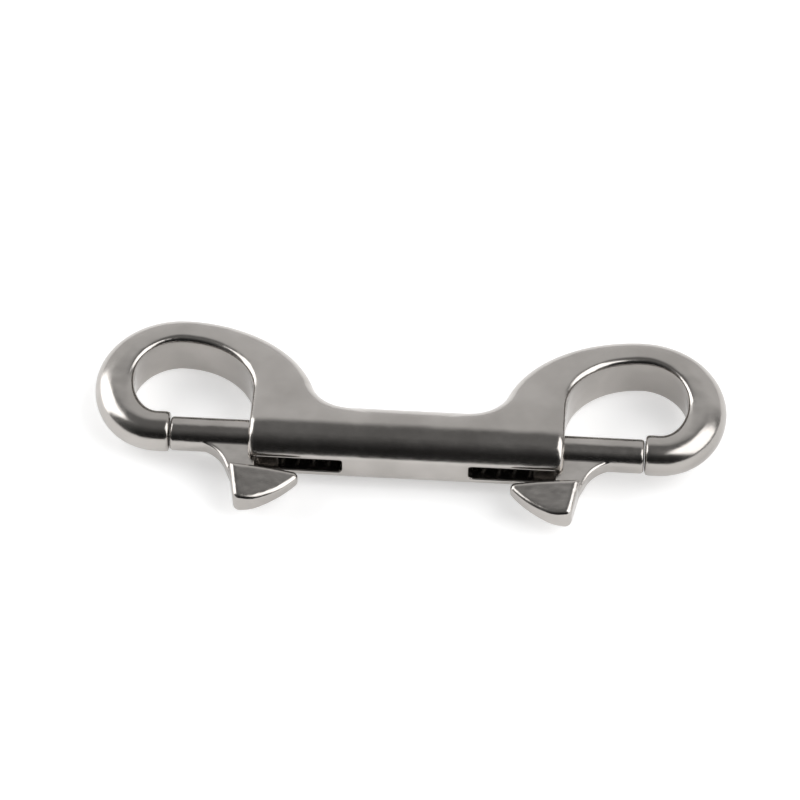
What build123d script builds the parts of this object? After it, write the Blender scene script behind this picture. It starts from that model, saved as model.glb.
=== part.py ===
from build123d import *
from math import asin, atan, degrees, sin
import os

# Double ended bolt snap, millimetres.
# It lies flat: +X runs along the snap, +Y from the thumb pads to the eyes, +Z up.
# The origin is the middle of the footprint, on the surface that the snap lies on.
# The right half is drawn, and the left half is its mirror image.

# --- body: barrel, webs and eyes --------------------------------------------
overall_length = 100.0
barrel_diameter = 10.8
barrel_flat_depth = 0.4  # flat along the thumb slots
eye_length = 25.35  # from the barrel mouth to the end of the snap
eye_reach = 21.5  # crest of the eye, from the bolt axis
eye_crest_inset = 13.5  # crest, from the end of the snap
eye_end_rise = 8.8  # outermost point of the eye, above the bolt axis
eye_floor_rise = 6.0  # the mouth wall runs straight up to here
eye_bar_width = 6.2  # bar that forms the eye, in plan
eye_crest_width = 5.8
eye_crest_thickness = 7.9
eye_end_thickness = 7.2
nose_length = 2.2  # straight end of the bar
nose_width = 6.2
nose_thickness = 6.4
nose_rise = 0.3  # the nose sits a little towards the eye
nose_inset = 12.7  # face of the nose, from the end of the snap
web_back_x = 14.4  # steepest part of the web's back, from the middle
web_back_rise = 4.0
web_foot_rise = 5.2  # the back meets the barrel here, and is filleted
web_foot_radius = 6.3
web_root_x = 4.0  # the web ends inside the barrel
web_root_rise = 4.0
web_sink = 0.02  # web flanks start this far inside the barrel surface
bar_lap = 0.4  # the bent bar runs this far into the web and into the nose
bar_step = 0.01  # and is this much smaller all round, so they cross cleanly
outer_edge_radius = 3.8
end_edge_radius = 3.5
inner_edge_radius = 1.0
nose_corner_radius = 3.0
nose_edge_radius = 0.5

# --- bolts and their guides -------------------------------------------------
pin_diameter = 5.4
pin_length = 17.05
pin_edge_radius = 0.45
nose_gap = 0.12  # pin tip to nose, closed
bore_clearance = 0.1  # radial
bore_floor_x = 1.75  # half of the solid middle between the bores
lever_width = 2.6  # web of the lever, across the slot
lever_length = 6.45  # along the pin, before its front corner is filleted
lever_inset = 1.25  # back of the lever web, inside the mouth
lever_toe_length = 2.2
lever_toe_rise = 1.3  # the web stops short of the outer edge of the pad
lever_fillet_radius = 6.0
lever_edge_radius = 0.4
lever_sink = 0.5  # how far the web is sunk into the pin
slot_clearance = 0.2  # each side of the lever web
slot_end_x = 9.9  # half of the solid flat between the slots
pad_gap = 1.4  # barrel to pad
pad_height = 6.5
pad_length = 11.7
pad_front_length = 4.0  # front of the pad, ahead of the back of the web
pad_base_length = 2.6  # straight outer edge of the pad, before rounding
pad_bulge = 0.8  # of the curve from there to the tip
pad_front_lean = 1.2
pad_tip_drop = 0.3  # the tip lies lower than the top of the inner edge
pad_front_drop = 0.15
pad_inner_thickness = 6.2
pad_outer_thickness = 4.6
pad_tip_thickness = 2.3
pad_heel_radius = 5.0
pad_corner_radius = 1.2
pad_tip_radius = 0.95
pad_edge_radius = 0.85

# --- springs ----------------------------------------------------------------
spring_wire = 0.6
spring_bore_gap = 0.35  # radial
spring_seat_gap = 0.05  # each end
spring_turns = 7.5

# --- worked out from the values above ----------------------------------------
barrel_radius = barrel_diameter / 2
pin_radius = pin_diameter / 2
bore_radius = pin_radius + bore_clearance
end_x = overall_length / 2
mouth_x = end_x - eye_length
crest_x = end_x - eye_crest_inset
nose_x = end_x - nose_inset
nose_bend_x = nose_x + nose_length
pad_inner_y = -(barrel_radius + pad_gap)
pad_outer_y = pad_inner_y - pad_height
pin_tip_x = nose_x - nose_gap
pin_rear_x = pin_tip_x - pin_length
lever_rear_x = mouth_x - lever_inset
lever_root_x = lever_rear_x + lever_length
pad_front_x = lever_rear_x + pad_front_length
slot_width = lever_width + 2 * slot_clearance
eye_window_top = eye_reach - eye_crest_width
web_foot_angle = degrees(asin((web_foot_rise - web_back_rise) / (eye_reach - web_back_rise)))
past = 1.0  # how far a cut runs past the piece

axis = Vector(0, -(eye_reach + pad_outer_y) / 2, barrel_radius)
plan = Plane(origin=axis)
across = Plane(origin=axis, x_dir=(0, 1, 0), z_dir=(1, 0, 0))

# Half thickness of the web: it thins evenly from the barrel to the crest.
flank_at_axis = barrel_radius - web_sink
crest_middle = eye_reach - eye_crest_width / 2
flank_slope = (flank_at_axis - eye_crest_thickness / 2) / crest_middle
flank_foot = barrel_radius * sin(atan(flank_slope))


def half_thickness(rise):
    """Half thickness of the web at a height above the bolt axis."""
    return flank_at_axis - flank_slope * rise


# The outer edge of web and bar is rounded as far as their thickness lets it be.
web_edge_radius = min(outer_edge_radius, half_thickness(eye_reach))
bar_edge_radius = min(end_edge_radius, eye_end_thickness / 2 - bar_step)
nose_round = min(nose_corner_radius, nose_width / 2 - bar_step, nose_thickness / 2 - bar_step)


def bar_section(plane, width, inner_half, outer_half, inner_radius, outer_radius):
    """Section of the eye bar. Local +X points into the eye."""
    with BuildSketch(plane) as section:
        with BuildLine():
            Polyline(
                (width / 2, -inner_half),
                (width / 2, inner_half),
                (-width / 2, outer_half),
                (-width / 2, -outer_half),
                close=True,
            )
        make_face()
        fillet(section.vertices().group_by(Axis.X)[-1], inner_radius)
        fillet(section.vertices().group_by(Axis.X)[0], outer_radius)
    return section.sketch


def eye_plane(x, y, inward, along):
    """Plane across the eye bar, at a place given from the bolt axis."""
    return Plane(origin=axis + Vector(x, y, 0), x_dir=inward, z_dir=along)


# --- right web: a tapered plate between barrel and eye ------------------------
with BuildPart() as web:
    with BuildSketch(across):
        with BuildLine():
            Polyline(
                (flank_foot, -half_thickness(flank_foot)),
                (flank_foot, half_thickness(flank_foot)),
                (eye_reach, half_thickness(eye_reach)),
                (eye_reach, -half_thickness(eye_reach)),
                close=True,
            )
        make_face()
    extrude(amount=crest_x)
    with BuildSketch(plan.offset(-barrel_diameter)) as web_outline:
        with BuildLine():
            Line((crest_x, eye_window_top), (crest_x, eye_reach))
            web_back = EllipticalCenterArc(
                (crest_x, web_back_rise),
                crest_x - web_back_x,
                eye_reach - web_back_rise,
                start_angle=90,
                arc_size=90 - web_foot_angle,
            )
            Polyline(
                web_back @ 1,
                (web_root_x, web_root_rise),
                (web_root_x, flank_foot),
                (mouth_x, flank_foot),
                (mouth_x, eye_floor_rise),
            )
            EllipticalCenterArc(
                (crest_x, eye_floor_rise),
                crest_x - mouth_x,
                eye_window_top - eye_floor_rise,
                start_angle=90,
                arc_size=90,
            )
        make_face()
        foot = web_outline.vertices().sort_by_distance(web_back @ 1)[0]
        fillet(foot, web_foot_radius)
    extrude(amount=2 * barrel_diameter, mode=Mode.INTERSECT)
    # The outer edge is fully rounded: it has one long edge on each flank.
    outer_wall = web.faces().filter_by(lambda face: face.normal_at().Z**2 < 0.01)
    outer_wall = outer_wall.filter_by(lambda face: face.normal_at().Y > 0.1)
    flanks = web.faces().filter_by(lambda face: face.normal_at().Z**2 > 0.9)
    rounded = [edge for edge in outer_wall.edges() if edge in flanks.edges()]
    fillet(rounded, web_edge_radius)

# --- right eye: the bar from the crest round to the nose -----------------------
with BuildLine(plan) as eye_path:
    Line((crest_x - bar_lap, crest_middle), (crest_x, crest_middle))
    EllipticalCenterArc(
        (crest_x, eye_end_rise),
        end_x - eye_bar_width / 2 - crest_x,
        crest_middle - eye_end_rise,
        arc_size=90,
    )
    EllipticalCenterArc(
        (nose_bend_x, eye_end_rise),
        end_x - eye_bar_width / 2 - nose_bend_x,
        eye_end_rise - nose_rise,
        start_angle=-90,
        arc_size=90,
    )
    Line((nose_bend_x, nose_rise), (nose_bend_x - bar_lap, nose_rise))

crest_sections = [
    bar_section(
        eye_plane(x, crest_middle, (0, -1, 0), (1, 0, 0)),
        eye_crest_width - 2 * bar_step,
        half_thickness(eye_window_top) - bar_step,
        half_thickness(eye_reach) - bar_step,
        inner_edge_radius,
        web_edge_radius,
    )
    for x in (crest_x - bar_lap, crest_x)
]
end_section = bar_section(
    eye_plane(end_x - eye_bar_width / 2, eye_end_rise, (-1, 0, 0), (0, -1, 0)),
    eye_bar_width,
    eye_end_thickness / 2,
    eye_end_thickness / 2,
    inner_edge_radius,
    bar_edge_radius,
)
nose_sections = [
    bar_section(
        eye_plane(x, nose_rise, (0, 1, 0), (-1, 0, 0)),
        nose_width - 2 * bar_step,
        nose_thickness / 2 - bar_step,
        nose_thickness / 2 - bar_step,
        nose_round,
        nose_round,
    )
    for x in (nose_bend_x, nose_bend_x - bar_lap)
]

with BuildPart() as eye:
    with BuildSketch(eye_plane(nose_bend_x, nose_rise, (0, 1, 0), (-1, 0, 0))):
        RectangleRounded(nose_width, nose_thickness, nose_round)
    extrude(amount=nose_length)
    fillet(eye.faces().sort_by(Axis.X)[0].edges(), nose_edge_radius)
    sweep(
        [*crest_sections, end_section, *nose_sections],
        path=eye_path.line,
        multisection=True,
    )

with BuildPart() as body:
    # Right half: barrel and web, with the window side rounded, then the eye.
    with BuildSketch(across):
        Circle(barrel_radius)
    extrude(amount=mouth_x)
    add(web.part)
    window_faces = body.faces().filter_by(lambda face: face.normal_at().X > 0.3)
    window_faces = window_faces.filter_by(lambda face: face.center().X < crest_x - past)
    flanks = body.faces().filter_by(lambda face: face.normal_at().X < 0.1)
    rims = [edge for edge in window_faces.edges() if edge in flanks.edges()]
    fillet(rims, inner_edge_radius)
    add(eye.part)
    mirror(about=Plane.YZ)
    # Flat along the slots, blind bore from each mouth, and the thumb slots.
    with BuildSketch(plan.offset(-barrel_diameter)):
        with Locations((0, -barrel_radius)):
            Rectangle(2 * mouth_x, 2 * barrel_flat_depth)
    extrude(amount=2 * barrel_diameter, mode=Mode.SUBTRACT)
    for side in (1, -1):
        with BuildSketch(across.offset(side * bore_floor_x)):
            Circle(bore_radius)
        extrude(amount=side * (mouth_x - bore_floor_x), mode=Mode.SUBTRACT)
        with BuildSketch(across.offset(side * slot_end_x)):
            with Locations((-barrel_radius / 2 - past / 2, 0)):
                Rectangle(barrel_radius + past, slot_width)
        extrude(amount=side * (mouth_x - slot_end_x), mode=Mode.SUBTRACT)



# --- right bolt: pin, lever web and thumb pad, cast in one ---------------------
with BuildPart() as pad:
    with BuildSketch(plan.offset(-pad_inner_thickness / 2)) as pad_outline:
        front = (pad_front_x, pad_inner_y - pad_front_drop)
        tip = (pad_front_x - pad_length, pad_inner_y - pad_tip_drop)
        corner = (pad_front_x - pad_front_lean, pad_outer_y)
        heel = (pad_front_x - pad_front_lean - pad_base_length, pad_outer_y)
        with BuildLine():
            Polyline(front, corner, heel)
            SagittaArc(heel, tip, pad_bulge)
            ThreePointArc(tip, (pad_front_x - pad_length / 2, pad_inner_y), front)
        make_face()
        fillet(pad_outline.vertices().sort_by_distance(heel)[0], pad_heel_radius)
        fillet(pad_outline.vertices().sort_by_distance(corner)[0], pad_corner_radius)
        fillet(pad_outline.vertices().sort_by_distance(tip)[0], pad_tip_radius)
    extrude(amount=pad_inner_thickness)
    # The pad thins towards its outer edge and towards its tip.
    for side in (1, -1):
        front_point = axis + Vector(pad_front_x, pad_inner_y, side * pad_inner_thickness / 2)
        outer_point = axis + Vector(pad_front_x, pad_outer_y, side * pad_outer_thickness / 2)
        tip_point = axis + Vector(
            pad_front_x - pad_length, pad_inner_y, side * pad_tip_thickness / 2
        )
        inward = (outer_point - front_point).cross(tip_point - front_point) * side
        split(bisect_by=Plane(origin=front_point, z_dir=inward), keep=Keep.TOP)
    tops = pad.faces().filter_by(lambda face: face.normal_at().Z**2 > 0.5)
    fillet(tops.edges(), pad_edge_radius)

with BuildPart() as right_bolt:
    # Lever web, with its front corner run out along the pin.
    with BuildSketch(plan.offset(-lever_width / 2)) as lever_outline:
        sunk = lever_sink - pin_radius
        root = (lever_root_x, sunk)
        with BuildLine():
            Polyline(
                root,
                (lever_rear_x + lever_toe_length, pad_outer_y + lever_toe_rise),
                (lever_rear_x, pad_outer_y + lever_toe_rise),
                (lever_rear_x, 0),
                (lever_root_x + lever_fillet_radius, 0),
                (lever_root_x + lever_fillet_radius, sunk),
                close=True,
            )
        make_face()
        fillet(lever_outline.vertices().sort_by_distance(root)[0], lever_fillet_radius)
    extrude(amount=lever_width)
    webs = right_bolt.faces().filter_by(Axis.Z)
    rims = webs.edges().filter_by(lambda edge: edge.center().Y < axis.Y + sunk - past)
    fillet(rims, lever_edge_radius)
    add(pad.part)
    with BuildSketch(across.offset(pin_rear_x)):
        Circle(pin_radius)
    extrude(amount=pin_length)
    pin_ends = right_bolt.faces().filter_by(Axis.X).filter_by(GeomType.PLANE)
    tip_face = pin_ends.sort_by(Axis.X)[-1]
    fillet(tip_face.edges(), pin_edge_radius)

with BuildPart() as left_bolt:
    mirror(right_bolt.part, about=Plane.YZ)

# --- springs: between the floor of each bore and the back of each pin -----------
spring_radius = bore_radius - spring_bore_gap - spring_wire / 2
spring_start_x = bore_floor_x + spring_seat_gap
spring_length = pin_rear_x - spring_seat_gap - spring_start_x


def compression_spring(side):
    """Coil spring with both ends ground flat. side is 1 on the right, -1 on the left."""
    with BuildLine() as coil:
        Helix(
            spring_length / spring_turns,
            spring_length,
            spring_radius,
            center=axis + Vector(side * spring_start_x, 0, 0),
            direction=(side, 0, 0),
        )
    with BuildPart() as spring:
        with BuildSketch(Plane(origin=coil.line @ 0, z_dir=coil.line % 0)):
            Circle(spring_wire / 2)
        sweep(path=coil.line, is_frenet=True)
        with BuildSketch(across.offset(side * spring_start_x)):
            Circle(bore_radius)
        extrude(amount=side * spring_length, mode=Mode.INTERSECT)
    return spring


left_spring = compression_spring(-1)
right_spring = compression_spring(1)

os.makedirs("parts", exist_ok=True)
pieces = {
    "body": body,
    "left_bolt": left_bolt,
    "right_bolt": right_bolt,
    "left_spring": left_spring,
    "right_spring": right_spring,
}
for name, piece in pieces.items():
    piece.part.label = name
    export_step(piece.part, f"parts/{name}.step")
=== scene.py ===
"""Double ended bolt snap in buffed cast stainless steel, lying on a white table."""

import math

import bpy
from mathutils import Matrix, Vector


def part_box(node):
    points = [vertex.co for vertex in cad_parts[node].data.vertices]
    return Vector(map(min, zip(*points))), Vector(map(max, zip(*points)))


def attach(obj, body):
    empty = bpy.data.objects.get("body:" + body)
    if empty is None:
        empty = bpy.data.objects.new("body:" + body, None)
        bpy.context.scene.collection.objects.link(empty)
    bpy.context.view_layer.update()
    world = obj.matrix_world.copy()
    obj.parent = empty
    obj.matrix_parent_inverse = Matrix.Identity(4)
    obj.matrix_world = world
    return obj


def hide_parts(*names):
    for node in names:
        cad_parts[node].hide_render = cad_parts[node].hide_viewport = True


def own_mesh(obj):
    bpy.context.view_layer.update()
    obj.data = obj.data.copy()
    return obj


MM = 0.001

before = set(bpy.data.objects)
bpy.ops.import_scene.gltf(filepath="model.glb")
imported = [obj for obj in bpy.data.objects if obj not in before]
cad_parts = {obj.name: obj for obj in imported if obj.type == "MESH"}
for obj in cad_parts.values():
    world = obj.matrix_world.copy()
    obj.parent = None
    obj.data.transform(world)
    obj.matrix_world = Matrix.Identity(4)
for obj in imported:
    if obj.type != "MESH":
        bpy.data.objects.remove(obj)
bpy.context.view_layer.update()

# The barrel, the bolts and the springs share one axis along X.
BODY_LOW, BODY_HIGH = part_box("body")
AXIS_Z = (BODY_LOW.z + BODY_HIGH.z) / 2

# Which way each end of the snap points along X.
SIDES = {"left": -1, "right": 1}

scene = bpy.context.scene


# --- helpers -----------------------------------------------------------------


def linear(hex_colour, alpha=1.0):
    """An sRGB hex colour as linear RGBA."""
    parts = [int(hex_colour[i : i + 2], 16) / 255 for i in (1, 3, 5)]
    parts = [c / 12.92 if c <= 0.04045 else ((c + 0.055) / 1.055) ** 2.4 for c in parts]
    return (*parts, alpha)


def per_mm(size):
    """The scale of a pattern whose features are size millimetres across."""
    return 1 / (size * MM)


def add_node(tree, kind, inputs=None, links=None, **settings):
    """Adds a node, with its settings, input values and links from other sockets."""
    node = tree.nodes.new(kind)
    for name, value in settings.items():
        setattr(node, name, value)
    for key, value in (inputs or {}).items():
        node.inputs[key].default_value = value
    for key, socket in (links or {}).items():
        tree.links.new(socket, node.inputs[key])
    return node


def new_material(name):
    """An empty node material and its node tree."""
    material = bpy.data.materials.new(name)
    material.use_nodes = True
    material.node_tree.nodes.clear()
    return material, material.node_tree


def select_only(piece):
    """Leaves one piece selected, and makes it the active one."""
    bpy.ops.object.select_all(action="DESELECT")
    piece.select_set(True)
    bpy.context.view_layer.objects.active = piece


def apply_modifier(piece, kind, **settings):
    """Adds one modifier to a piece and applies it."""
    select_only(piece)
    modifier = piece.modifiers.new(kind.lower(), kind)
    for name, value in settings.items():
        setattr(modifier, name, value)
    bpy.ops.object.modifier_apply(modifier=modifier.name)


# --- finishes ----------------------------------------------------------------

# Stainless steel, where it is a little lighter and a little darker.
STEEL_LIGHT = "#b3afab"
STEEL_DARK = "#a4a09c"
TINT_SIZE = 9.0  # mm, of the faint clouds in the colour
GLOSS_SIZE = 0.9  # mm, coarser than real buffing marks, which are too fine to show
ROUGHNESS_LOW = 0.18
ROUGHNESS_HIGH = 0.23
SWELL_HEIGHT = 0.06  # mm, bump of the waviness that buffing leaves

WIRE_LIGHT = "#7c7b77"
WIRE_DARK = "#5f5e5b"
DRAW_MARK_SIZE = 0.5  # mm
WIRE_ROUGHNESS = 0.38


def buffed_cast_stainless(name, swell_size):
    """Cast stainless steel, tumbled and then buffed.

    Buffing rounds the casting skin off and leaves it slightly wavy, so that reflections
    swim a little. The colour varies faintly, and fine buffing marks vary the gloss.
    """
    material, tree = new_material(name)
    place = add_node(tree, "ShaderNodeTexCoord")
    cloud = add_node(
        tree,
        "ShaderNodeTexNoise",
        {"Scale": per_mm(TINT_SIZE), "Detail": 3.0, "Roughness": 0.5},
        {"Vector": place.outputs["Object"]},
    )
    tint = add_node(tree, "ShaderNodeValToRGB", links={"Fac": cloud.outputs["Fac"]})
    tint.color_ramp.elements[0].position = 0.35
    tint.color_ramp.elements[0].color = linear(STEEL_DARK)
    tint.color_ramp.elements[1].position = 0.65
    tint.color_ramp.elements[1].color = linear(STEEL_LIGHT)
    marks = add_node(
        tree,
        "ShaderNodeTexNoise",
        {"Scale": per_mm(GLOSS_SIZE), "Detail": 2.0, "Roughness": 0.6},
        {"Vector": place.outputs["Object"]},
    )
    gloss = add_node(
        tree,
        "ShaderNodeMapRange",
        {"From Min": 0.3, "From Max": 0.7, "To Min": ROUGHNESS_LOW, "To Max": ROUGHNESS_HIGH},
        {"Value": marks.outputs["Fac"]},
    )
    swell = add_node(
        tree,
        "ShaderNodeTexNoise",
        {"Scale": per_mm(swell_size), "Detail": 1.0, "Roughness": 0.4},
        {"Vector": place.outputs["Object"]},
    )
    bump = add_node(
        tree,
        "ShaderNodeBump",
        {"Strength": 1.0, "Distance": SWELL_HEIGHT * MM},
        {"Height": swell.outputs["Fac"]},
    )
    shader = add_node(
        tree,
        "ShaderNodeBsdfPrincipled",
        {"Metallic": 1.0},
        {
            "Base Color": tint.outputs["Color"],
            "Roughness": gloss.outputs["Result"],
            "Normal": bump.outputs["Normal"],
        },
    )
    add_node(tree, "ShaderNodeOutputMaterial", links={"Surface": shader.outputs["BSDF"]})
    return material


def drawn_spring_wire():
    """Drawn stainless spring wire, left dull by the die, in slightly uneven greys."""
    material, tree = new_material("drawn_stainless_spring_wire")
    place = add_node(tree, "ShaderNodeTexCoord")
    marks = add_node(
        tree,
        "ShaderNodeTexNoise",
        {"Scale": per_mm(DRAW_MARK_SIZE), "Detail": 2.0},
        {"Vector": place.outputs["Object"]},
    )
    tone = add_node(tree, "ShaderNodeValToRGB", links={"Fac": marks.outputs["Fac"]})
    tone.color_ramp.elements[0].color = linear(WIRE_DARK)
    tone.color_ramp.elements[1].color = linear(WIRE_LIGHT)
    shader = add_node(
        tree,
        "ShaderNodeBsdfPrincipled",
        {"Metallic": 1.0, "Roughness": WIRE_ROUGHNESS},
        {"Base Color": tone.outputs["Color"]},
    )
    add_node(tree, "ShaderNodeOutputMaterial", links={"Surface": shader.outputs["BSDF"]})
    return material


BODY_STEEL = buffed_cast_stainless("buffed_cast_stainless_body", swell_size=3.0)
BOLT_STEEL = buffed_cast_stainless("buffed_cast_stainless_bolt", swell_size=2.0)
SPRING_STEEL = drawn_spring_wire()

for name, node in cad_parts.items():
    node.data.materials.clear()
    node.data.materials.append(SPRING_STEEL if "spring" in name else BODY_STEEL)


def finish_with(piece, material):
    """Gives a piece its one material."""
    piece.data.materials.clear()
    piece.data.materials.append(material)


# --- pieces ------------------------------------------------------------------

BODY_SKIN = 0.3  # mm, mesh size of the buffed skin
BOLT_SKIN = 0.16  # mm
BUFFING_PASSES = 3
MERGE_GAP = 0.001  # mm
WIRE_END_ANGLE = math.radians(40)  # the ground ends of the springs stay crisp


def joined_copy(node_name, name):
    """A copy of a CAD node with its loose triangles merged into one skin."""
    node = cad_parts[node_name]
    piece = bpy.data.objects.new(name, node.data.copy())
    scene.collection.objects.link(piece)
    select_only(piece)
    bpy.ops.object.mode_set(mode="EDIT")
    bpy.ops.mesh.select_all(action="SELECT")
    bpy.ops.mesh.remove_doubles(threshold=MERGE_GAP * MM)
    bpy.ops.object.mode_set(mode="OBJECT")
    return piece


def buffed_casting(node_name, name, skin):
    """The casting with the even skin and softened edges that buffing gives it."""
    piece = joined_copy(node_name, name)
    apply_modifier(piece, "REMESH", mode="VOXEL", voxel_size=skin * MM, use_smooth_shade=True)
    apply_modifier(piece, "SMOOTH", factor=0.5, iterations=BUFFING_PASSES)
    select_only(piece)
    bpy.ops.object.shade_smooth()
    return piece


def snap_body():
    """Both eyes, the webs and the barrel, cast in one."""
    body = buffed_casting("body", "snap_body", BODY_SKIN)
    finish_with(body, BODY_STEEL)
    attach(body, "frame")
    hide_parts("body")


def sliding_bolt(side):
    """Pin, lever and thumb pad, cast in one."""
    bolt = buffed_casting(f"{side}_bolt", f"{side}_sliding_bolt", BOLT_SKIN)
    finish_with(bolt, BOLT_STEEL)
    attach(bolt, f"{side}_bolt")
    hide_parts(f"{side}_bolt")


def return_spring(side):
    """The spring behind the bolt. It stays with the frame as the bolt moves."""
    spring = joined_copy(f"{side}_spring", f"{side}_return_spring")
    select_only(spring)
    bpy.ops.object.shade_smooth_by_angle(angle=WIRE_END_ANGLE)
    finish_with(spring, SPRING_STEEL)
    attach(spring, "frame")
    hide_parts(f"{side}_spring")
    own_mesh(spring)


snap_body()
for side, outward in SIDES.items():
    sliding_bolt(side)
    return_spring(side)


# --- camera ------------------------------------------------------------------

CAMERA_TARGET = Vector((-1.64 * MM, 4.75 * MM, AXIS_Z))
CAMERA_AZIMUTH = math.radians(3.6)
CAMERA_ELEVATION = math.radians(52)
CAMERA_DISTANCE = 0.654  # m
CAMERA_LENS = 186  # mm
CAMERA_SENSOR = 36  # mm


def add_camera():
    """A long lens, looking down on the snap from the side of the thumb pads."""
    back = Vector(
        (
            math.sin(CAMERA_AZIMUTH) * math.cos(CAMERA_ELEVATION),
            -math.cos(CAMERA_AZIMUTH) * math.cos(CAMERA_ELEVATION),
            math.sin(CAMERA_ELEVATION),
        )
    )
    data = bpy.data.cameras.new("camera")
    data.lens = CAMERA_LENS
    data.sensor_width = CAMERA_SENSOR
    camera = bpy.data.objects.new("camera", data)
    scene.collection.objects.link(camera)
    camera.location = CAMERA_TARGET + back * CAMERA_DISTANCE
    camera.rotation_euler = (-back).to_track_quat("-Z", "Y").to_euler()
    scene.camera = camera


add_camera()


# --- table and studio --------------------------------------------------------

TABLE_SIZE = 6  # m
TABLE_COLOUR = "#f2f2f2"
TABLE_LIFT = 0.42  # added for the camera and the metal, on top of the light that falls on it

# The studio: a light backdrop behind the table, a dim ceiling and a dark room at the front.
BACKDROP = 0.85
CEILING = 0.2
ROOM = 0.02
# How far a direction leans to the front, from -1 to 1, where each of them starts and ends.
STUDIO = [(-1.0, BACKDROP), (-0.6, BACKDROP), (-0.35, CEILING), (0.2, CEILING), (0.8, ROOM)]

SOFTBOX_DISTANCE = 1.0  # m


def matt_white_laminate():
    """Matt white laminate, with no gloss of its own.

    The camera and the metal see it as white, and it keeps the snap's shadow.
    """
    material, tree = new_material("matt_white_laminate")
    matt = add_node(tree, "ShaderNodeBsdfDiffuse", {"Color": linear(TABLE_COLOUR)})
    path = add_node(tree, "ShaderNodeLightPath")
    camera_or_metal = add_node(
        tree,
        "ShaderNodeMath",
        links={0: path.outputs["Is Camera Ray"], 1: path.outputs["Is Glossy Ray"]},
        operation="MAXIMUM",
    )
    seen = add_node(
        tree,
        "ShaderNodeMath",
        links={0: camera_or_metal.outputs[0], 1: path.outputs["Is Transmission Ray"]},
        operation="MAXIMUM",
    )
    lift = add_node(
        tree, "ShaderNodeMath", {1: TABLE_LIFT}, {0: seen.outputs[0]}, operation="MULTIPLY"
    )
    glow = add_node(
        tree, "ShaderNodeEmission", {"Color": (1, 1, 1, 1)}, {"Strength": lift.outputs[0]}
    )
    both = add_node(tree, "ShaderNodeAddShader", links={0: matt.outputs[0], 1: glow.outputs[0]})
    add_node(tree, "ShaderNodeOutputMaterial", links={"Surface": both.outputs[0]})
    return material


def add_table():
    """The table top, which the snap lies on and which stays out of the export."""
    bpy.ops.object.select_all(action="DESELECT")
    bpy.ops.mesh.primitive_plane_add(size=TABLE_SIZE)
    floor = bpy.context.object
    floor.name = "floor"
    floor.data.materials.append(matt_white_laminate())


def studio_world():
    """The surroundings, in bands from the backdrop over the ceiling to the front."""
    world = bpy.data.worlds.new("studio")
    world.use_nodes = True
    tree = world.node_tree
    tree.nodes.clear()
    place = add_node(tree, "ShaderNodeTexCoord")
    split = add_node(tree, "ShaderNodeSeparateXYZ", links={0: place.outputs["Generated"]})
    lean = add_node(
        tree,
        "ShaderNodeMapRange",
        {"From Min": 1.0, "From Max": -1.0, "To Min": 0.0, "To Max": 1.0},
        {"Value": split.outputs["Y"]},
    )
    ramp = add_node(tree, "ShaderNodeValToRGB", links={"Fac": lean.outputs["Result"]})
    stops = ramp.color_ramp.elements
    stops.remove(stops[1])
    for index, (front, level) in enumerate(STUDIO):
        position = (front + 1) / 2
        stop = stops[0] if index == 0 else stops.new(position)
        stop.position = position
        stop.color = (level, level, level, 1)
    sky = add_node(
        tree, "ShaderNodeBackground", {"Strength": 1.0}, {"Color": ramp.outputs["Color"]}
    )
    add_node(tree, "ShaderNodeOutputWorld", links={"Surface": sky.outputs[0]})
    return world


def softbox(name, toward, width, height, brightness):
    """A softbox that faces the snap. A brightness of 1 would show as white."""
    direction = Vector(toward).normalized()
    data = bpy.data.lights.new(name, "AREA")
    data.shape = "RECTANGLE"
    data.size = width
    data.size_y = height
    data.energy = brightness * math.pi * width * height
    lamp = bpy.data.objects.new(name, data)
    lamp.location = direction * SOFTBOX_DISTANCE
    lamp.rotation_euler = direction.to_track_quat("Z", "Y").to_euler()
    scene.collection.objects.link(lamp)


add_table()
scene.world = studio_world()
softbox("left_softbox", toward=(-0.80, 0.22, 0.40), width=0.75, height=1.10, brightness=3.0)
softbox("right_softbox", toward=(0.66, -0.12, 0.58), width=0.90, height=1.20, brightness=2.8)
scene.view_settings.view_transform = "Standard"
